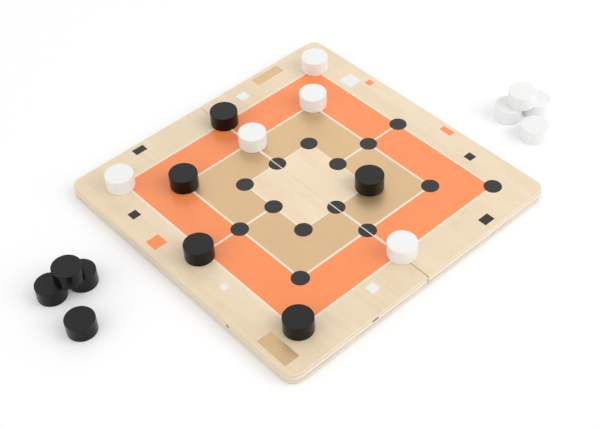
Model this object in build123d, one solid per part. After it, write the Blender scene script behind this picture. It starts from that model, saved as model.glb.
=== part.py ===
from build123d import *
import os

# Nine mens morris box: two shallow plywood trays hinged along the middle. Opened flat, as here, the
# hollows face down and the printed panels make the board; folded, they shut into a case for the men.
# Frame: origin under the middle of the split, on the table. X crosses the split, Y runs along it, Z is up.
# All sizes are in millimetres.

# ---- board ----
BOARD_SIDE = 250.0          # open board, square
CORNER_R = 9.5              # outer corners, seen from above
SPLIT_GAP = 0.15            # daylight between the two halves
SPLIT_CORNER_R = 2.5        # corners of each half where the split runs out
PANEL_T = 2.0               # printed playing panel
RAIL_H = 6.5                # rim under the panel
RAIL_W = 10.0
CROSS_RAIL_W = 8.0
TOP_EASING = 1.4            # rounding round the top of the board
SPLIT_EASING = 0.35         # lighter rounding beside the split
BOTTOM_EASING = 0.7

# ---- feet and hinges ----
KNUCKLE_R = 1.1             # also the height of the pin above the table, and of the feet
PIN_R = 0.5
PIN_PLAY = 0.03             # round the pin, in the knuckles of the leaf that turns
KNUCKLES = 5
KNUCKLE_GAP = 0.15
HINGE_L = 24.0
HINGE_Y = 75.0              # middle of each hinge, front and back
LEAF_REACH = 8.0            # from the pin's centre to the leaf's edge
LEAF_T = 0.5
LEAF_START = 1.35           # where the plate of the leaf begins, clear of the other leaf's knuckles
KNUCKLE_ROOM = 1.45         # rebate in the hinge rails round the knuckles
MORTISE_PLAY = 0.15

SCREW_HEAD_R = 1.4
SCREW_HEAD_H = 0.8
SCREW_SHANK_R = 0.8
SCREW_L = 5.0
SCREW_TIP_H = 1.2
SCREW_SLOT_W = 0.35
SCREW_SLOT_DEPTH = 0.3
SCREW_X = 5.0
SCREW_SPREAD = 8.0          # from the hinge's middle to each screw

FOOT_R = 4.0
FOOT_EASING = 0.2
LEFT_FOOT_Y = 110.0         # the feet of the two halves miss each other when the case is shut
RIGHT_FOOT_Y = 98.0

MAGNET_R = 3.0
MAGNET_H = 2.0
MAGNET_SUNK = 0.1
MAGNET_PLAY = 0.05
MAGNET_Y = 60.0

# ---- men and the points they stand on ----
MAN_R = 10.8
MAN_H = 12.2
MAN_EASING = 0.5
STACK_AIR = 0.05            # under the man that lies on two others
POINT_STEP = 96.5 / 3       # between the three squares of the board, measured along X or Y
PRINT_X = 0.8               # middle of the printed pattern, a little off the middle of the board
PRINT_Y = -0.6

# ---- worked out ----
HALF_SIDE = BOARD_SIDE / 2
SPLIT_X = SPLIT_GAP / 2
RIM_Z = KNUCKLE_R                       # underside of the rails, level with the hinge pins
PANEL_Z = RIM_Z + RAIL_H
BOARD_TOP = PANEL_Z + PANEL_T
OUTER_RAIL_X = HALF_SIDE - RAIL_W       # inner face of the outer rail
HINGE_RAIL_X = SPLIT_X + RAIL_W         # inner face of the hinge rail
END_RAIL_Y = HALF_SIDE - RAIL_W         # inner face of the front and back rails
RAIL_MID_X = HALF_SIDE - RAIL_W / 2

SIDES = {"left": -1, "right": 1}
HINGES = {"front": -HINGE_Y, "back": HINGE_Y}

# Men on the board: (point along X, point along Y, how far off the point in X, in Y).
BLACK_ON_BOARD = [(0, 3, 1.7, 0.0), (-2, 2, 0.1, -0.7), (1, -1, 0.0, -1.6), (-3, 0, -4.2, 0.2),
                  (-3, -3, 2.0, 0.5)]
WHITE_ON_BOARD = [(3, 3, 1.3, 0.0), (2, 2, 1.6, -0.5), (0, 2, 1.5, -2.2), (-3, 3, -2.2, -0.2),
                  (0, -3, 1.6, -0.1)]
# Men beside the board: X, Y and how many men high they lie.
BLACK_BESIDE = [(-194.3, 9.6, 0), (-191.9, 49.2, 0), (-169.2, 44.7, 0), (-179.0, 44.0, 1)]
WHITE_BESIDE = [(169.6, -76.5, 0), (173.4, -47.2, 0), (194.3, -57.4, 0), (181.7, -52.3, 1)]


def write(node, shape):
    """One file for each piece, named after it."""
    export_step(shape, f"parts/{node}.step")


def box(x0, x1, y0, y1, z0, z1):
    """A block between two corners, given in any order."""
    middle = ((x0 + x1) / 2, (y0 + y1) / 2, (z0 + z1) / 2)
    return Pos(*middle) * Box(abs(x1 - x0), abs(y1 - y0), abs(z1 - z0))


def disc(x, y, z0, radius, height):
    return Pos(x, y, z0) * Cylinder(radius, height, align=(Align.CENTER, Align.CENTER, Align.MIN))


def eased_disc(x, y, z0, radius, height, easing):
    blank = Cylinder(radius, height, align=(Align.CENTER, Align.CENTER, Align.MIN))
    return Pos(x, y, z0) * fillet(blank.edges().filter_by(GeomType.CIRCLE), easing)


def half_slab(side, z0, height, easing, split_easing, eased_end):
    """Half of the board's outline as a slab; eased_end is -1 for its top edge and 0 for its lower edge."""
    whole = extrude(RectangleRounded(BOARD_SIDE, BOARD_SIDE, CORNER_R), height)
    whole = fillet(whole.edges().group_by(Axis.Z)[eased_end], easing)
    half = extrude(RectangleRounded(BOARD_SIDE, BOARD_SIDE, SPLIT_CORNER_R), height)
    half = fillet(half.edges().group_by(Axis.Z)[eased_end], split_easing)
    half = Pos(side * (SPLIT_X + HALF_SIDE), 0, 0) * half
    return Pos(0, 0, z0) * (whole & half)


def screw(x, y):
    """A countersunk wood screw driven up into the rail, with its head level with the leaf."""
    up = (Align.CENTER, Align.CENTER, Align.MIN)
    head = Cone(SCREW_HEAD_R, SCREW_SHANK_R, SCREW_HEAD_H, align=up)
    shank_l = SCREW_L - SCREW_HEAD_H - SCREW_TIP_H
    shank = Pos(0, 0, SCREW_HEAD_H) * Cylinder(SCREW_SHANK_R, shank_l, align=up)
    tip = Pos(0, 0, SCREW_HEAD_H + shank_l) * Cone(SCREW_SHANK_R, 0.15, SCREW_TIP_H, align=up)
    slot = Box(2.2 * SCREW_HEAD_R, SCREW_SLOT_W, 2 * SCREW_SLOT_DEPTH)
    return Pos(x, y, RIM_Z) * (head + shank + tip), Pos(x, y, RIM_Z) * (head + shank + tip - slot)


def screw_places(side):
    return [(side * SCREW_X, y + s * SCREW_SPREAD) for y in HINGES.values() for s in (-1, 1)]


def hinge_leaf(side, y):
    """A leaf with its share of the knuckles: the left leaf has the first, the right leaf the second."""
    y0 = y - HINGE_L / 2
    pitch = (HINGE_L + KNUCKLE_GAP) / KNUCKLES
    leaf = box(side * LEAF_START, side * LEAF_REACH, y0, y0 + HINGE_L, RIM_Z, RIM_Z + LEAF_T)
    bore_r = PIN_R if side < 0 else PIN_R + PIN_PLAY
    for k in range(0 if side < 0 else 1, KNUCKLES, 2):
        k0 = y0 + k * pitch
        k1 = k0 + pitch - KNUCKLE_GAP
        barrel = Pos(0, (k0 + k1) / 2, RIM_Z) * (Rot(90, 0, 0) * Cylinder(KNUCKLE_R, k1 - k0))
        leaf += barrel + box(0, side * LEAF_START, k0, k1, RIM_Z, RIM_Z + LEAF_T)
    leaf -= Pos(0, y, RIM_Z) * (Rot(90, 0, 0) * Cylinder(bore_r, 2 * HINGE_L))
    return leaf


def hinge_pin(y):
    return Pos(0, y, RIM_Z) * (Rot(90, 0, 0) * Cylinder(PIN_R, HINGE_L))


def hinge_housing(side, y):
    """What a hinge takes out of the rail: a seat for the leaf and a rebate round the knuckles."""
    y0 = y - HINGE_L / 2 - MORTISE_PLAY
    y1 = y + HINGE_L / 2 + MORTISE_PLAY
    seat = box(0, side * (LEAF_REACH + MORTISE_PLAY), y0, y1, RIM_Z - 1, RIM_Z + LEAF_T)
    rebate = box(0, side * KNUCKLE_ROOM, y0, y1, RIM_Z - 1, RIM_Z + KNUCKLE_ROOM)
    return seat + rebate


def build_half(name, side):
    panel = half_slab(side, PANEL_Z, PANEL_T, TOP_EASING, SPLIT_EASING, -1)
    rim = half_slab(side, RIM_Z, RAIL_H, BOTTOM_EASING, BOTTOM_EASING / 2, 0)
    reach = HALF_SIDE + 1
    outer = rim & box(side * OUTER_RAIL_X, side * reach, -reach, reach, 0, BOARD_TOP)
    hinge = rim & box(0, side * HINGE_RAIL_X, -reach, reach, 0, BOARD_TOP)
    front = rim & box(side * HINGE_RAIL_X, side * OUTER_RAIL_X, -reach, -END_RAIL_Y, 0, BOARD_TOP)
    back = rim & box(side * HINGE_RAIL_X, side * OUTER_RAIL_X, END_RAIL_Y, reach, 0, BOARD_TOP)
    cross = box(side * HINGE_RAIL_X, side * OUTER_RAIL_X, -CROSS_RAIL_W / 2, CROSS_RAIL_W / 2,
                RIM_Z, PANEL_Z)

    magnets = []
    for y in (-MAGNET_Y, MAGNET_Y):
        outer -= disc(side * RAIL_MID_X, y, RIM_Z - 1, MAGNET_R + MAGNET_PLAY, MAGNET_SUNK + MAGNET_H + 1)
        magnets.append(disc(side * RAIL_MID_X, y, RIM_Z + MAGNET_SUNK, MAGNET_R, MAGNET_H))

    leaves = {}
    for place, y in HINGES.items():
        hinge -= hinge_housing(side, y)
        leaves[place] = hinge_leaf(side, y)
    screws = []
    for x, y in screw_places(side):
        hole, fitted = screw(x, y)
        hinge -= hole
        screws.append(fitted)
        for place in leaves:
            leaves[place] -= hole

    foot_y = LEFT_FOOT_Y if side < 0 else RIGHT_FOOT_Y
    feet = [eased_disc(side * RAIL_MID_X, s * foot_y, 0, FOOT_R, KNUCKLE_R, FOOT_EASING) for s in (-1, 1)]

    write(f"{name}_playing_panel", panel)
    write(f"{name}_outer_rail", outer)
    write(f"{name}_hinge_rail", hinge)
    write(f"{name}_front_rail", front)
    write(f"{name}_back_rail", back)
    write(f"{name}_cross_rail", cross)
    write(f"{name}_magnets", Compound(children=magnets))
    write(f"{name}_hinge_screws", Compound(children=screws))
    write(f"{name}_feet", Compound(children=feet))
    for place, leaf in leaves.items():
        write(f"{place}_hinge_{name}_leaf", leaf)


def build_men(colour, on_board, beside):
    places = [(PRINT_X + i * POINT_STEP + dx, PRINT_Y + j * POINT_STEP + dy, BOARD_TOP)
              for i, j, dx, dy in on_board]
    places += [(x, y, high * (MAN_H + STACK_AIR)) for x, y, high in beside]
    for number, (x, y, z) in enumerate(places, 1):
        write(f"{colour}_man_{number}", eased_disc(x, y, z, MAN_R, MAN_H, MAN_EASING))


os.makedirs("parts", exist_ok=True)
for name, side in SIDES.items():
    build_half(name, side)
for place, y in HINGES.items():
    write(f"{place}_hinge_pin", hinge_pin(y))
build_men("black", BLACK_ON_BOARD, BLACK_BESIDE)
build_men("white", WHITE_ON_BOARD, WHITE_BESIDE)
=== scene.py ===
import math

import bpy
from mathutils import Matrix, Vector


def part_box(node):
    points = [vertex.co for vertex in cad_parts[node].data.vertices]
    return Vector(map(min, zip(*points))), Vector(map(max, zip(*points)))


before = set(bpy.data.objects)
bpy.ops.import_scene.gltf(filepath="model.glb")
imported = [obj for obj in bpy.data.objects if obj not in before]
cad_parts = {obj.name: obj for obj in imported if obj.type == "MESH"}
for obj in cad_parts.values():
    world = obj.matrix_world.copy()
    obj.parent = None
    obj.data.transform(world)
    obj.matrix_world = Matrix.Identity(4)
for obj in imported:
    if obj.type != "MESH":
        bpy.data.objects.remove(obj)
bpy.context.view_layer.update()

# Nine mens morris set: a folding plywood case opened flat as a printed board, with its men on it and
# beside it. Metres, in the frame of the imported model: X crosses the split, Y runs along it, Z is up.

MM = 0.001

# ---- sizes read from the model ----
PANEL_LOW, PANEL_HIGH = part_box("left_playing_panel")
RIM_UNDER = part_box("left_outer_rail")[0].z
PANEL_UNDER = PANEL_LOW.z
BOARD_TOP = PANEL_HIGH.z
PANEL_T = BOARD_TOP - PANEL_UNDER

# ---- the printed pattern, as its plan on the board ----
PRINT_X = 0.8 * MM                  # middle of the pattern, a little off the middle of the board
PRINT_Y = -0.6 * MM
OUTER_SQUARE = 96.5 * MM            # half the side of the outer square
MIDDLE_SQUARE = OUTER_SQUARE * 2 / 3
INNER_SQUARE = OUTER_SQUARE / 3
LINE_W = 1.7 * MM
INNER_LINE_W = 1.2 * MM
DOT_R = 6.7 * MM
INK_EDGE = 0.12 * MM                # how far an ink's edge takes to fade
INK_WOBBLE = 0.16 * MM              # how far the edge wanders over the grain
INK_WOBBLE_SCALE = 900
INK_DEPTH = 0.9                     # how far down the rounded edge the ink goes, in face veneers
INK_DEPTH_FADE = 0.1 * MM

# Plain blocks printed in the margin: X from, X to, Y from, Y to in millimetres, and the ink.
MARGIN_BLOCKS = [
    (-69.7, -59.5, 114.0, 120.6, "charcoal"), (29.3, 37.8, 106.2, 114.4, "white"),
    (51.3, 78.7, 111.8, 120.7, "tan"), (-112.7, -105.5, 60.4, 67.6, "charcoal"),
    (-119.6, -108.6, 25.4, 36.4, "orange"), (-108.7, -103.5, -37.3, -32.0, "white"),
    (-120.7, -108.5, -113.5, -85.6, "tan"), (-38.1, -30.6, -109.4, -101.6, "white"),
    (63.9, 73.5, -119.7, -112.4, "charcoal"), (101.9, 114.3, 57.3, 70.1, "white"),
    (114.3, 120.1, 48.1, 53.8, "orange"), (115.8, 121.1, -37.9, -26.8, "orange"),
    (105.8, 112.6, -67.6, -60.7, "charcoal"),
]

# The inks in the order of printing. The tan is a dull gold that mirrors the foot of each man; the others
# are plain.
INKS = {
    "orange": (0.99, 0.292, 0.098),
    "tan": (0.648, 0.452, 0.258),
    "cream": (0.94, 0.81, 0.66),
    "white": (0.87, 0.87, 0.86),
    "charcoal": (0.011, 0.0065, 0.0055),
}
GOLD_SHARE = 0.75                   # how metallic the tan ink is
GRAIN_THROUGH_INK = (0.955, 1.035)  # the grain under an ink makes it this much darker or lighter
PATCHY_INK = (0.975, 1.02)          # and the uneven pull of the screen this much
PATCHY_INK_SCALE = 60
INK_FILLS = 0.6                     # how much of the grain's relief the ink fills
INK_STANDS = 1.5                    # how far it stands on the wood, in reliefs
INK_GLOSS = 0.16                    # taken off the roughness of the lacquer
GOLD_ROUGHNESS = 0.2                # added to it again on the tan

# ---- the split ----
SPLIT_BARE = 0.42 * MM              # from the middle of the split to where the ink begins
SPLIT_PALE_PAINTED_LIGHT = (0.96, 0.91, 0.82)     # bare wood where the ink stops, painted paler than the veneer as light that offsets the shade in the split
SPLIT_PALE_SHARE = 0.8
SPLIT_PALE_SHARE_BARE = 0.64        # the same in the bare square in the middle
SPLIT_DARKER = (0.42, 0.31, 0.18)   # wood darker along the split in the margin
SPLIT_DARKER_SHARES = (0.6, 0.2)    # in the front margin and in the back margin
SPLIT_DARKER_CHANGES = (-50 * MM, 50 * MM)  # the Y between which one becomes the other
MIDDLE_CLEANER = 1.055              # how pale the wood of the middle square is against the margin

# ---- birch ----
BIRCH_DARK = (0.765, 0.595, 0.395)
BIRCH_PALE = (0.91, 0.77, 0.575)
# What makes up its figure: cycles per metre across the grain, along it and in depth.
BROAD_BANDS = (28, 4.5, 60)
SWELL = (19, 2.6, 40)
STREAKS = (420, 14, 420)
FIBRE = (2600, 90, 2600)
PORES = (1500, 130, 1500)
MOTTLE = (75, 55, 75)
RINGS_IN_SWELL = 95                 # turns the slow swell into growth rings
RING_SHIFT = 7
CORE_SHIFT = 31                     # sets the inner plies apart from the faces
PORES_SHOW = (0.68, 0.76)
# How much each of them changes the tone, and how far it stands up or sinks in.
TONE = {"bands": 0.95, "rings": 0.06, "streaks": 0.5, "fibre": 0.35, "mottle": 0.5, "pores": 0.3}
RELIEF = {"streaks": 0.4, "fibre": 0.5, "pores": 0.6}
RELIEF_MEAN = 0.3
RELIEF_SPAN = (0.1, 0.9)
NOISE_SPAN = (0.2, 0.8)             # where nearly all of a noise lies

# ---- plywood ----
PANEL_VENEER = 0.62 * MM            # the two face veneers of the panel
GLUE_LINE = 0.09 * MM
BIRCH_SAWN = (0.95, 0.86, 0.725)    # sawn and sanded edges along X, paler than the veneer
BIRCH_SAWN_ALONG_Y = (0.86, 0.735, 0.565)
SAWN_SHARE = 0.85                   # how much of the sawn colour shows
SAWN_TONE = (0.93, 1.02)            # the grain makes it this much darker or lighter
SAWN_FACING = (0.97, 0.55)          # upright part of the normal: veneer at the first, sawn at the second
ALONG_Y_FACING = (0.3, 0.9)         # its X part: an edge along X at the first, along Y at the second
BIRCH_END = (0.57, 0.43, 0.29)      # end grain of the plies that run into the edge
END_PALER_ALONG_Y = 0.7
END_PATCHES = (38, 38, 500)
END_PATCHES_SPAN = (0.35, 0.65)
END_PATCHY = (0.5, 1.0)             # how much of the end grain's colour shows from patch to patch
END_SPECKS = 3000
END_SPECKLED = (0.55, 0.95)         # and from speck to speck
GLUE_BROWN = (0.42, 0.29, 0.17)
GLUE_SHARE = 0.6
GLUE_FADE = 0.04 * MM               # how far the edges of a glue line take to fade
PLY_FADE = 0.05 * MM
RAIL_GLUE_FADE = 0.05 * MM
RAIL_PLY_FADE = 0.1 * MM
PANEL_CORE_DARKNESS = 0.8           # how dark the edge of the panel's core is
PANEL_EDGE_FACING = (0.6, 0.9)      # its larger level part: face at the first, edge at the second
# Plies of the rails from the lower face up: thickness in millimetres, and how dark the edge is.
RAIL_PLIES = [(1.9, 0.0), (1.4, 1.0), (0.6, 0.5), (1.0, 0.05), (1.6, 0.0)]
# Painted shade: the dark brown that fills the voids and the tear in the edges.
TORN_PAINTED_SHADE = (0.16, 0.09, 0.045)
TORN_DEPTH = 6                      # in reliefs
RAGGED_SCALE = 2200
# Small gaps in the plies that show in the edge: centre and half lengths, in millimetres.
EDGE_VOIDS = [((-125.0, -60.4, 6.3), (1.2, 1.7, 0.95)), ((-50.7, -125.0, 7.2), (3.2, 1.2, 0.85))]
VOID_RAGGED = 0.8
VOID_FADE = 0.5
# A ply torn by the saw beside the left back corner: Y from, Y to and height, in millimetres.
TEAR = (94.0, 119.0, 2.8)
TEAR_END = 2                        # how far past the second it fades out, in millimetres
TEAR_HALF_H = 0.55 * MM
TEAR_FADE = 0.5 * MM
TEAR_RAGGED = 0.5 * MM
TEAR_GRAIN = (420, 700)             # cycles per metre along Y and Z
TEAR_BREAKS = (0.38, 0.6)
TEAR_DARKNESS = 0.7
TEAR_FACE_X = (-110 * MM, -112 * MM)  # it begins between these, on the outer face of the left half
WOOD_RELIEF = 0.02 * MM
LACQUER_ROUGHNESS = 0.4             # satin lacquer on the panel
LACQUER_UNEVEN = 0.08               # how much the relief changes it
PANEL_SPECULAR = 0.42
RAIL_ROUGHNESS = 0.55
RAIL_UNEVEN = 0.1
RAIL_SPECULAR = 0.45

# ---- men ----
MEN = [f"{colour}_man_{number}" for colour in ("black", "white") for number in range(1, 10)]
# The side colours are lit and shaded copies of each paint: painted shade on the black men's sides,
# painted light on the white men's sides.
PAINTS = {
    "black": {"flat": (0.012, 0.0102, 0.0107), "side": (0.0018, 0.0013, 0.0014),
              "worn": (0.035, 0.03, 0.026), "flat_roughness": 0.35, "side_roughness": 0.24,
              "specular": 0.24},
    "white": {"flat": (0.88, 0.88, 0.875), "side": (0.925, 0.93, 0.93), "worn": (0.84, 0.82, 0.77),
              "flat_roughness": 0.4, "side_roughness": 0.4, "specular": 0.4},
}
TURN_STEP = 1.7                     # radians from one man's end grain to the next
TURN_OF_WHITE = 0.9
# What shows through the paint: cycles per metre across and along the rings of the end grain, and along
# X, Y and Z for its specks and for the stripes up the side.
END_RINGS = (260, 42)
END_RINGS_STEP = 3.1                # shifts the rings from one man to the next
MAN_SPECKS = (1900, 1900, 160)
SIDE_STRIPES = (900, 900, 26)
PAINT_PEEL = 420
# How much each of them stands up.
SIDE_RELIEF = {"stripes": 0.7, "peel": 0.5}
FLAT_RELIEF = {"rings": 0.9, "specks": 0.5, "peel": 0.5}
PAINT_RELIEF = 0.03 * MM
PAINT_RELIEF_MEAN = 0.6
PAINT_RELIEF_SPAN = (0.3, 1.2)
PAINT_TONE = (0.955, 1.04)          # the relief makes the paint this much darker or lighter
PAINT_UNEVEN = 0.12                 # and changes its roughness by this much
FLAT_FACING = (0.6, 0.95)           # upright part of the normal: side at the first, flat at the second
WORN_BAND = (0.55 * MM, 0.2 * MM)   # the rim is worn from this far inside it to this near
WORN_DROP = (0.7 * MM, 0.2 * MM)    # the same, down from the flat face
WORN_SCALE = 700
WORN_SHOWS = (0.56, 0.72)
WORN_SHARE = 0.5

# ---- metals and felt ----
# Colour, roughness and the axis that the brush or the tool ran along.
METALS = {
    "brushed_brass": ((0.78, 0.56, 0.24), 0.32, "Y"),
    "turned_brass": ((0.8, 0.6, 0.28), 0.26, "X"),
    "drawn_steel": ((0.58, 0.58, 0.59), 0.3, "Y"),
    "nickel_plate": ((0.66, 0.65, 0.62), 0.2, "X"),
}
BRUSH_ALONG = 60                    # cycles per metre along the lines and across them
BRUSH_ACROSS = 2600
METAL_CLOUDS = 350
CLOUD_SHARE = 0.6                   # against the lines
METAL_TONE = (0.82, 1.08)
METAL_UNEVEN = 0.25                 # how much the lines change the roughness
METAL_RELIEF = 0.01 * MM
FELT_DARK = (0.16, 0.11, 0.065)
FELT_PALE = (0.5, 0.4, 0.27)
FELT_FIBRES = 2600
FELT_CLUMPS = 600
FIBRE_SHARE = 0.6                   # against the clumps
FELT_RELIEF = 0.15 * MM
FELT_ROUGHNESS = 0.95
FELT_SHEEN = 0.5
FELT_SHEEN_ROUGHNESS = 0.5


# ======================================================================================
# Camera, light and floor
# ======================================================================================

VIEW_AZIMUTH = -40.05               # degrees; 0 looks along +Y
VIEW_ELEVATION = 45.66
VIEW_ROLL = -3.05
VIEW_DISTANCE = 0.8298
VIEW_TARGET = Vector((-0.02262, -0.01951, BOARD_TOP))
LENS = 69.16
SENSOR_W = 36

# Lamps: direction towards each, distance, size, power and colour. The window stands to the right, pale
# screens stand to the left, behind the camera and behind the board.
LAMPS = {
    "window": (Vector((0.572, -0.819, 0.80)), 1.9, 1.5, 12.4, (1.0, 0.99, 0.975)),
    "left_screen": (Vector((-0.97, 0.2, 0.5)), 1.8, 1.6, 5.5, (1.0, 0.99, 0.98)),
    "near_screen": (Vector((-0.62, -0.72, 0.5)), 1.8, 1.6, 0.6, (1.0, 0.995, 0.99)),
    "far_screen": (Vector((0.55, 0.6, 0.5)), 1.3, 1.0, 1.3, (1.0, 1.0, 1.0)),
}
SKY_STRENGTH = 0.715
FLOOR_REACH = 6.0
FLOOR_COLOUR = (0.95, 0.955, 0.965, 1)
FLOOR_LIFT = 0.075                  # added where the camera sees the floor, so that open floor is white
FAR_LIFT = 0.34                     # the same, out where the lamps no longer reach
LIFT_GROWS = (0.5, 2.6)             # over these distances from the board's middle


def make_camera():
    """Looks down on the board across its left front corner."""
    azimuth, elevation, roll = (math.radians(a) for a in (VIEW_AZIMUTH, VIEW_ELEVATION, VIEW_ROLL))
    level = math.cos(elevation)
    back = Vector((math.sin(azimuth) * level, -math.cos(azimuth) * level, math.sin(elevation)))
    across = (-back).cross(Vector((0, 0, 1))).normalized()
    upward = across.cross(-back)
    right = across * math.cos(roll) + upward * math.sin(roll)
    up = upward * math.cos(roll) - across * math.sin(roll)
    camera = bpy.data.objects.new("camera", bpy.data.cameras.new("camera"))
    bpy.context.scene.collection.objects.link(camera)
    camera.data.lens = LENS
    camera.data.sensor_width = SENSOR_W
    camera.matrix_world = Matrix.Translation(VIEW_TARGET + back * VIEW_DISTANCE) @ Matrix(
        (right, up, back)).transposed().to_4x4()
    bpy.context.scene.camera = camera


def make_lamps():
    for name, (direction, distance, size, power, colour) in LAMPS.items():
        lamp = bpy.data.lights.new(name, "AREA")
        lamp.shape = "SQUARE"
        lamp.size = size
        lamp.energy = power
        lamp.color = colour
        lit = bpy.data.objects.new(name, lamp)
        bpy.context.scene.collection.objects.link(lit)
        toward = direction.normalized()
        lit.location = toward * distance
        lit.rotation_euler = toward.to_track_quat("Z", "Y").to_euler()


def seen_directly(tree):
    """1 for a camera, mirror or glass ray, so that what they see of the backdrop is plain white."""
    path = tree.nodes.new("ShaderNodeLightPath")
    return highest(*(Wire(tree, path.outputs[name])
                     for name in ("Is Camera Ray", "Is Glossy Ray", "Is Transmission Ray")))


def make_sky():
    """An even white room."""
    world = bpy.data.worlds.new("studio")
    bpy.context.scene.world = world
    world.use_nodes = True
    tree = world.node_tree
    background = tree.nodes["Background"]
    feed(tree, background.inputs["Color"], (1, 1, 1))
    feed(tree, background.inputs["Strength"],
         ramp(seen_directly(tree), 0.0, 1.0, SKY_STRENGTH, 1.0, soft=False))


def make_floor():
    """A pale floor that looks white where nothing shades it."""
    mesh = bpy.data.meshes.new("floor")
    corners = [(-FLOOR_REACH, -FLOOR_REACH, 0), (FLOOR_REACH, -FLOOR_REACH, 0),
               (FLOOR_REACH, FLOOR_REACH, 0), (-FLOOR_REACH, FLOOR_REACH, 0)]
    mesh.from_pydata(corners, [], [(0, 1, 2, 3)])
    floor = bpy.data.objects.new("floor", mesh)
    bpy.context.scene.collection.objects.link(floor)
    material = bpy.data.materials.new("pale_floor")
    material.use_nodes = True
    tree = material.node_tree
    tree.nodes.clear()
    paint = tree.nodes.new("ShaderNodeBsdfDiffuse")
    paint.inputs["Color"].default_value = FLOOR_COLOUR
    lift = tree.nodes.new("ShaderNodeEmission")
    place = Place(tree)
    from_middle = maths("SQRT", place.x * place.x + place.y * place.y)
    feed(tree, lift.inputs["Strength"],
         ramp(from_middle, *LIFT_GROWS, FLOOR_LIFT, FAR_LIFT) * seen_directly(tree))
    both = tree.nodes.new("ShaderNodeAddShader")
    tree.links.new(paint.outputs[0], both.inputs[0])
    tree.links.new(lift.outputs[0], both.inputs[1])
    # Seen from under it the floor is clear, so that the underside of the case can be looked at.
    clear = tree.nodes.new("ShaderNodeBsdfTransparent")
    side = tree.nodes.new("ShaderNodeNewGeometry")
    choice = tree.nodes.new("ShaderNodeMixShader")
    tree.links.new(side.outputs["Backfacing"], choice.inputs[0])
    tree.links.new(both.outputs[0], choice.inputs[1])
    tree.links.new(clear.outputs[0], choice.inputs[2])
    output = tree.nodes.new("ShaderNodeOutputMaterial")
    tree.links.new(choice.outputs[0], output.inputs["Surface"])
    mesh.materials.append(material)


# ======================================================================================
# Arithmetic with material nodes
# ======================================================================================

class Wire:
    """A number or colour on its way through a material's nodes. + - * / add a Math node."""

    def __init__(self, tree, socket):
        self.tree = tree
        self.socket = socket

    def __add__(self, other):
        return maths("ADD", self, other)

    def __radd__(self, other):
        return maths("ADD", other, self)

    def __sub__(self, other):
        return maths("SUBTRACT", self, other)

    def __rsub__(self, other):
        return maths("SUBTRACT", other, self)

    def __mul__(self, other):
        return maths("MULTIPLY", self, other)

    def __truediv__(self, other):
        return maths("DIVIDE", self, other)


def feed(tree, socket, value):
    """Puts a wire, a number or a colour into a node's input."""
    if isinstance(value, Wire):
        tree.links.new(value.socket, socket)
    elif hasattr(value, "__len__") and len(value) == 3 and socket.type == "RGBA":
        socket.default_value = (*value, 1)
    else:
        socket.default_value = value


def maths(operation, *values):
    tree = next(v.tree for v in values if isinstance(v, Wire))
    made = tree.nodes.new("ShaderNodeMath")
    made.operation = operation
    for socket, value in zip(made.inputs, values):
        feed(tree, socket, value)
    return Wire(tree, made.outputs[0])


def lowest(first, *others):
    for other in others:
        first = maths("MINIMUM", first, other)
    return first


def highest(first, *others):
    for other in others:
        first = maths("MAXIMUM", first, other)
    return first


def size_of(value):
    return maths("ABSOLUTE", value)


def ramp(value, low, high, start=0.0, end=1.0, soft=True):
    """start below low, end above high and a smooth or straight change between them."""
    made = value.tree.nodes.new("ShaderNodeMapRange")
    made.interpolation_type = "SMOOTHSTEP" if soft else "LINEAR"
    for name, number in (("Value", value), ("From Min", low), ("From Max", high), ("To Min", start),
                         ("To Max", end)):
        feed(value.tree, made.inputs[name], number)
    return Wire(value.tree, made.outputs[0])


def within(distance, reach, fade=INK_EDGE):
    """1 where a distance is less than reach, 0 beyond it."""
    return ramp(distance, reach - fade / 2, reach + fade / 2, 1.0, 0.0)


def vector(x, y, z):
    tree = next(v.tree for v in (x, y, z) if isinstance(v, Wire))
    made = tree.nodes.new("ShaderNodeCombineXYZ")
    for socket, value in zip(made.inputs, (x, y, z)):
        feed(tree, socket, value)
    return Wire(tree, made.outputs[0])


def noise(at, scale=1.0, detail=2.0, roughness=0.5, distortion=0.0):
    """Smooth noise from 0 to 1, round 0.5."""
    made = at.tree.nodes.new("ShaderNodeTexNoise")
    for name, value in (("Vector", at), ("Scale", scale), ("Detail", detail), ("Roughness", roughness),
                        ("Distortion", distortion)):
        feed(at.tree, made.inputs[name], value)
    return Wire(at.tree, made.outputs[0])


def blend(share, first, second):
    """The colour first where share is 0 and second where it is 1."""
    made = share.tree.nodes.new("ShaderNodeMix")
    made.data_type = "RGBA"
    made.clamp_factor = True
    feed(share.tree, made.inputs[0], share)
    feed(share.tree, made.inputs[6], first)
    feed(share.tree, made.inputs[7], second)
    return Wire(share.tree, made.outputs[2])


def shade(colour, amount):
    """A colour made lighter or darker by a factor that varies over the surface."""
    made = amount.tree.nodes.new("ShaderNodeVectorMath")
    made.operation = "SCALE"
    feed(amount.tree, made.inputs[0], colour)
    feed(amount.tree, made.inputs["Scale"], amount)
    return Wire(amount.tree, made.outputs[0])


class Place:
    """Where a point of the surface is and which way it faces, in the object's own metres."""

    def __init__(self, tree, centre=(0, 0, 0)):
        coordinates = tree.nodes.new("ShaderNodeTexCoord")
        mapping = tree.nodes.new("ShaderNodeMapping")
        mapping.inputs["Location"].default_value = [-c for c in centre]
        tree.links.new(coordinates.outputs["Object"], mapping.inputs["Vector"])
        self.here = Wire(tree, mapping.outputs[0])
        self.x, self.y, self.z = self.parts_of(tree, mapping.outputs[0])
        self.facing_x, self.facing_y, self.facing_z = self.parts_of(tree, coordinates.outputs["Normal"])

    @staticmethod
    def parts_of(tree, socket):
        made = tree.nodes.new("ShaderNodeSeparateXYZ")
        tree.links.new(socket, made.inputs[0])
        return [Wire(tree, output) for output in made.outputs]

    def stretched(self, per_x, per_y, per_z):
        """The place with its own number of cycles per metre along each axis."""
        return vector(self.x * per_x, self.y * per_y, self.z * per_z)


def new_material(name):
    material = bpy.data.materials.new(name)
    material.use_nodes = True
    return material, material.node_tree, material.node_tree.nodes["Principled BSDF"]


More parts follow.
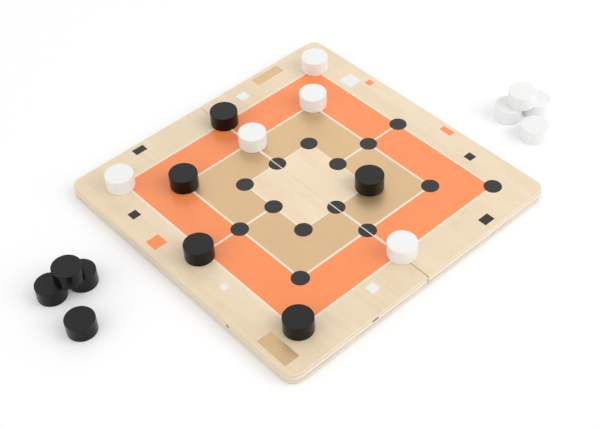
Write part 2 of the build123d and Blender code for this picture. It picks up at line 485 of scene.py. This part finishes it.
def finish_surface(tree, shader, colour, roughness, height, height_scale, **others):
    """Connects a surface's colour, roughness and bump; height is in metres times height_scale."""
    feed(tree, shader.inputs["Base Color"], colour)
    feed(tree, shader.inputs["Roughness"], roughness)
    bump = tree.nodes.new("ShaderNodeBump")
    bump.inputs["Strength"].default_value = 1.0
    bump.inputs["Distance"].default_value = height_scale
    feed(tree, bump.inputs["Height"], height)
    tree.links.new(bump.outputs[0], shader.inputs["Normal"])
    for name, value in others.items():
        feed(tree, shader.inputs[name.replace("_", " ")], value)


# ======================================================================================
# Birch and plywood
# ======================================================================================

def birch(place, grain, seed=0):
    """Rotary-cut birch as a solid, with its grain along X or Y: tone from 0, dark, to 1, and relief."""
    along, across = (place.x, place.y) if grain == "X" else (place.y, place.x)

    def figure(cycles, shift=0, **settings):
        per_across, per_along, per_depth = cycles
        at = vector(across * per_across + shift, along * per_along, place.z * per_depth)
        return noise(at, **settings)

    broad = figure(BROAD_BANDS, seed)
    rings = maths("SINE", figure(SWELL, seed + RING_SHIFT, detail=1.0) * RINGS_IN_SWELL)
    streaks = figure(STREAKS, seed, detail=3.0, roughness=0.6)
    fibre = figure(FIBRE)
    pores = ramp(figure(PORES, seed, detail=1.0), *PORES_SHOW)
    mottle = figure(MOTTLE, seed)
    tone = (0.5 + (broad - 0.5) * TONE["bands"] + rings * TONE["rings"]
            + (streaks - 0.5) * TONE["streaks"] + (fibre - 0.5) * TONE["fibre"]
            + (mottle - 0.5) * TONE["mottle"] - pores * TONE["pores"])
    relief = streaks * RELIEF["streaks"] + fibre * RELIEF["fibre"] - pores * RELIEF["pores"]
    return tone, relief


def plywood(place, cross_ply, dark, glue, grain):
    """Colour and relief of plywood whose face grain runs along X or Y. cross_ply is 1 in the plies that
    run the other way, dark is how dark a ply's edge is and glue is 1 in the lines between plies."""
    other = "Y" if grain == "X" else "X"
    face_tone, face_relief = birch(place, grain)
    core_tone, core_relief = birch(place, other, CORE_SHIFT)
    tone = face_tone + (core_tone - face_tone) * cross_ply
    relief = face_relief + (core_relief - face_relief) * cross_ply
    sawn = ramp(size_of(place.facing_z), *SAWN_FACING)
    along_y = ramp(size_of(place.facing_x), *ALONG_Y_FACING)
    specks = noise(place.here, scale=END_SPECKS)
    patchy = ramp(noise(place.stretched(*END_PATCHES)), *END_PATCHES_SPAN, *END_PATCHY)
    speckled = ramp(specks, *NOISE_SPAN, *END_SPECKLED)

    veneer = blend(tone, BIRCH_DARK, BIRCH_PALE)
    edge = shade(blend(along_y, BIRCH_SAWN, BIRCH_SAWN_ALONG_Y),
                 ramp(tone, 0.0, 1.0, *SAWN_TONE, soft=False))
    wood = blend(sawn * SAWN_SHARE, veneer, edge)
    end_grain = sawn * (dark * (1 - along_y * END_PALER_ALONG_Y))
    wood = blend(end_grain * patchy * speckled, wood, BIRCH_END)
    wood = blend(glue * GLUE_SHARE, wood, GLUE_BROWN)
    return wood, relief + end_grain * (specks - 0.5)


def torn(place, colour, height):
    """The gaps and the tear that the sawn edge cuts open, laid over a colour and a height; the shade
    inside them is painted dark brown.
    """
    ragged = noise(place.here, scale=RAGGED_SCALE) - 0.5
    masks = []
    for centre, half_size in EDGE_VOIDS:
        x, y, z = ((axis - middle * MM) / (half * MM)
                   for axis, middle, half in zip((place.x, place.y, place.z), centre, half_size))
        masks.append(within(x * x + y * y + z * z + ragged * VOID_RAGGED, 1.0, VOID_FADE))
    start, end, level = TEAR
    per_y, per_z = TEAR_GRAIN
    broken = ramp(noise(vector(0, place.y * per_y, place.z * per_z)), *TEAR_BREAKS)
    length = ramp(place.y, start * MM, end * MM) * within(place.y, (end + TEAR_END) * MM, TEAR_END * MM)
    height_off = size_of(place.z - level * MM + ragged * TEAR_RAGGED)
    tear = within(height_off, TEAR_HALF_H, TEAR_FADE) * length * broken * ramp(place.x, *TEAR_FACE_X)
    mask = highest(*masks, tear * TEAR_DARKNESS)
    return blend(mask, colour, TORN_PAINTED_SHADE), height - mask * TORN_DEPTH


# ======================================================================================
# The printed board
# ======================================================================================

def line_mask(across_x, across_y, square):
    """The three squares and the four lines that join them."""
    squares = highest(within(size_of(square - OUTER_SQUARE), LINE_W / 2),
                      within(size_of(square - MIDDLE_SQUARE), LINE_W / 2),
                      within(size_of(square - INNER_SQUARE), INNER_LINE_W / 2))
    joins = highest(within(across_x, LINE_W / 2) * (1 - within(across_y, INNER_SQUARE)),
                    within(across_y, LINE_W / 2) * (1 - within(across_x, INNER_SQUARE)))
    return highest(squares, joins * within(square, OUTER_SQUARE))


def dot_mask(across_x, across_y):
    """A dot on each of the 24 points. The pattern is the same in all four quarters."""
    distances = []
    for reach in (INNER_SQUARE, MIDDLE_SQUARE, OUTER_SQUARE):
        for x, y in ((reach, reach), (reach, 0.0), (0.0, reach)):
            dx, dy = across_x - x, across_y - y
            distances.append(maths("SQRT", dx * dx + dy * dy))
    return within(lowest(*distances), DOT_R)


def block_masks(place, ink):
    """The margin blocks of one ink."""
    masks = []
    for x0, x1, y0, y1, block_ink in MARGIN_BLOCKS:
        if block_ink == ink:
            side = size_of(place.x - (x0 + x1) / 2 * MM) - (x1 - x0) / 2 * MM
            end = size_of(place.y - (y0 + y1) / 2 * MM) - (y1 - y0) / 2 * MM
            masks.append(within(highest(side, end), 0.0))
    return masks


def panel_plywood(place, depth):
    """The panel's three plies: a core that runs across it between two face veneers."""
    core = within(size_of(depth - PANEL_T / 2), PANEL_T / 2 - PANEL_VENEER, PLY_FADE)
    on_edge = ramp(highest(size_of(place.facing_x), size_of(place.facing_y)), *PANEL_EDGE_FACING)
    above_rim = place.z - PANEL_UNDER
    glue = highest(within(size_of(depth - PANEL_VENEER), GLUE_LINE / 2, GLUE_FADE),
                   within(size_of(above_rim - PANEL_VENEER), GLUE_LINE / 2, GLUE_FADE),
                   within(above_rim, GLUE_LINE, GLUE_FADE) * on_edge)
    return plywood(place, core, core * PANEL_CORE_DARKNESS, glue, "Y")


def printed_panel():
    """Birch plywood with the board printed on it in five inks."""
    material, tree, shader = new_material("printed_birch_panel")
    place = Place(tree)
    depth = BOARD_TOP - place.z
    colour, relief = panel_plywood(place, depth)

    wobble = (noise(place.here, scale=INK_WOBBLE_SCALE) - 0.5) * INK_WOBBLE
    across_x = size_of(place.x - PRINT_X) + wobble
    across_y = size_of(place.y - PRINT_Y) + wobble
    square = highest(across_x, across_y)
    in_print = within(square, OUTER_SQUARE)
    in_middle_square = within(square, MIDDLE_SQUARE)
    in_bare_square = within(square, INNER_SQUARE)

    # Beside the split bare wood shows where the ink stops, painted pale as light that offsets the shade
    # in the split, and the bare margin is darker along the split.
    beside_split = within(size_of(place.x), SPLIT_BARE)
    colour = shade(colour, ramp(in_bare_square, 0.0, 1.0, 1.0, MIDDLE_CLEANER))
    pale_painted_light_share = ramp(in_bare_square, 0.0, 1.0, SPLIT_PALE_SHARE, SPLIT_PALE_SHARE_BARE)
    colour = blend(beside_split * in_print * pale_painted_light_share, colour, SPLIT_PALE_PAINTED_LIGHT)
    darker_by_split = ramp(place.y, *SPLIT_DARKER_CHANGES, *SPLIT_DARKER_SHARES)
    colour = blend(beside_split * darker_by_split * (1 - in_print), colour, SPLIT_DARKER)

    on_top = within(depth, INK_DEPTH * PANEL_VENEER, INK_DEPTH_FADE) * (1 - beside_split)
    bands = {
        "orange": in_print * (1 - in_middle_square),
        "tan": in_middle_square * (1 - in_bare_square),
        "cream": line_mask(across_x, across_y, square),
        "charcoal": dot_mask(across_x, across_y),
    }
    grain_through = ramp(relief, *RELIEF_SPAN, *GRAIN_THROUGH_INK, soft=False)
    patchy = ramp(noise(place.here, scale=PATCHY_INK_SCALE, detail=3.0), *NOISE_SPAN, *PATCHY_INK)
    laid = {}
    for ink, colour_of_ink in INKS.items():
        band = [bands[ink]] if ink in bands else []
        laid[ink] = highest(*band, *block_masks(place, ink)) * on_top
        colour = blend(laid[ink], colour, shade(colour_of_ink, grain_through * patchy))
    inked = highest(*laid.values())
    # The inks printed over the tan hide its metal.
    metal = laid["tan"] * (1 - laid["cream"]) * (1 - laid["white"]) * (1 - laid["charcoal"])

    colour, height = torn(place, colour, relief * (1 - inked * INK_FILLS) + inked * INK_STANDS)
    roughness = (LACQUER_ROUGHNESS - inked * INK_GLOSS + metal * GOLD_ROUGHNESS
                 + (relief - RELIEF_MEAN) * LACQUER_UNEVEN)
    finish_surface(tree, shader, colour, roughness, height, WOOD_RELIEF,
                   Specular_IOR_Level=PANEL_SPECULAR, Metallic=metal * GOLD_SHARE)
    return material


def plywood_rail(name, grain):
    """Five plies, with the grain of the outer ones along the rail."""
    material, tree, shader = new_material(name)
    place = Place(tree)
    level = place.z - RIM_UNDER
    bottom = 0.0
    plies, lines = [], []
    for thickness, _ in RAIL_PLIES:
        top = bottom + thickness * MM
        plies.append(within(size_of(level - (bottom + top) / 2), (top - bottom) / 2, RAIL_PLY_FADE))
        lines.append(within(size_of(level - top), GLUE_LINE / 2, RAIL_GLUE_FADE))
        bottom = top
    dark = highest(*(ply * darkness for ply, (_, darkness) in zip(plies, RAIL_PLIES)))
    colour, relief = plywood(place, highest(*plies[1::2]), dark, highest(*lines), grain)
    colour, height = torn(place, colour, relief)
    roughness = RAIL_ROUGHNESS + (relief - RELIEF_MEAN) * RAIL_UNEVEN
    finish_surface(tree, shader, colour, roughness, height, WOOD_RELIEF,
                   Specular_IOR_Level=RAIL_SPECULAR)
    return material


# ======================================================================================
# Men, metal and felt
# ======================================================================================

def painted_man(node, colour, number):
    """Satin paint over a turned dowel: end grain under the flat faces, grain lines up the side."""
    low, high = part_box(node)
    radius = (high.x - low.x) / 2
    half_height = (high.z - low.z) / 2
    paint = PAINTS[colour]
    material, tree, shader = new_material(f"{node}_paint")
    place = Place(tree, (low + high) / 2)
    turn = number * TURN_STEP + (TURN_OF_WHITE if colour == "white" else 0.0)
    across = place.x * math.cos(turn) + place.y * math.sin(turn)
    away = place.y * math.cos(turn) - place.x * math.sin(turn)
    from_axis = maths("SQRT", place.x * place.x + place.y * place.y)
    flat = ramp(size_of(place.facing_z), *FLAT_FACING)

    per_across, per_away = END_RINGS
    rings = noise(vector(across * per_across + number * END_RINGS_STEP, away * per_away, 0))
    specks = noise(place.stretched(*MAN_SPECKS))
    per_x, per_y, per_z = SIDE_STRIPES
    stripes = noise(vector(place.x * per_x, place.y * per_y, place.z * per_z + number), detail=3.0)
    peel = noise(place.here, scale=PAINT_PEEL, detail=1.0)
    side_relief = stripes * SIDE_RELIEF["stripes"] + peel * SIDE_RELIEF["peel"]
    flat_relief = (rings * FLAT_RELIEF["rings"] + specks * FLAT_RELIEF["specks"]
                   + peel * FLAT_RELIEF["peel"])
    relief = side_relief + (flat_relief - side_relief) * flat

    rim = ramp(from_axis, *(radius - inside for inside in WORN_BAND)) * ramp(
        size_of(place.z), *(half_height - down for down in WORN_DROP))
    wear = rim * ramp(noise(place.here, scale=WORN_SCALE, detail=3.0), *WORN_SHOWS)
    # Painted shading: the sides take their own colour, darker than the flat faces on black men and
    # lighter on white men.
    tint = shade(blend(flat, paint["side"], paint["flat"]),
                 ramp(relief, *PAINT_RELIEF_SPAN, *PAINT_TONE, soft=False))
    tint = blend(wear * WORN_SHARE, tint, paint["worn"])
    satin = ramp(flat, 0.0, 1.0, paint["side_roughness"], paint["flat_roughness"])
    roughness = satin + (relief - PAINT_RELIEF_MEAN) * PAINT_UNEVEN
    finish_surface(tree, shader, tint, roughness, relief, PAINT_RELIEF,
                   Specular_IOR_Level=paint["specular"])
    return material


def brushed_metal(name, base, roughness, along):
    """Metal with fine lines along X, Y or Z."""
    material, tree, shader = new_material(name)
    place = Place(tree)
    lines = noise(place.stretched(*(BRUSH_ALONG if axis == along else BRUSH_ACROSS for axis in "XYZ")))
    clouds = noise(place.here, scale=METAL_CLOUDS, detail=3.0)
    marks = clouds * CLOUD_SHARE + lines * (1 - CLOUD_SHARE)
    colour = shade(base, ramp(marks, *NOISE_SPAN, *METAL_TONE))
    finish_surface(tree, shader, colour, roughness + (lines - 0.5) * METAL_UNEVEN, lines, METAL_RELIEF,
                   Metallic=1.0)
    return material


def pressed_felt():
    """Brown wool fibres in clumps."""
    material, tree, shader = new_material("pressed_felt")
    place = Place(tree)
    fibres = noise(place.here, scale=FELT_FIBRES, detail=4.0, roughness=0.7, distortion=1.5)
    clumps = noise(place.here, scale=FELT_CLUMPS)
    colour = blend(fibres * FIBRE_SHARE + clumps * (1 - FIBRE_SHARE), FELT_DARK, FELT_PALE)
    finish_surface(tree, shader, colour, FELT_ROUGHNESS, fibres, FELT_RELIEF, Sheen_Weight=FELT_SHEEN,
                   Sheen_Roughness=FELT_SHEEN_ROUGHNESS)
    return material


# ======================================================================================
# Dressing the model
# ======================================================================================

def dress(node, material):
    """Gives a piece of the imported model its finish."""
    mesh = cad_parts[node].data
    mesh.materials.clear()
    mesh.materials.append(material)


def dress_board():
    panel = printed_panel()
    along_y = plywood_rail("plywood_along_split", "Y")
    along_x = plywood_rail("plywood_across_split", "X")
    metals = {name: brushed_metal(name, *finish) for name, finish in METALS.items()}
    felt = pressed_felt()
    for side in ("left", "right"):
        dress(f"{side}_playing_panel", panel)
        for rail in ("outer", "hinge"):
            dress(f"{side}_{rail}_rail", along_y)
        for rail in ("front", "back", "cross"):
            dress(f"{side}_{rail}_rail", along_x)
        dress(f"{side}_hinge_screws", metals["turned_brass"])
        dress(f"{side}_magnets", metals["nickel_plate"])
        dress(f"{side}_feet", felt)
        for end in ("front", "back"):
            dress(f"{end}_hinge_{side}_leaf", metals["brushed_brass"])
    for end in ("front", "back"):
        dress(f"{end}_hinge_pin", metals["drawn_steel"])


def dress_men():
    for number, node in enumerate(MEN, 1):
        dress(node, painted_man(node, node.split("_")[0], number))


bpy.context.scene.view_settings.view_transform = "Standard"
make_camera()
make_lamps()
make_sky()
make_floor()
dress_board()
dress_men()
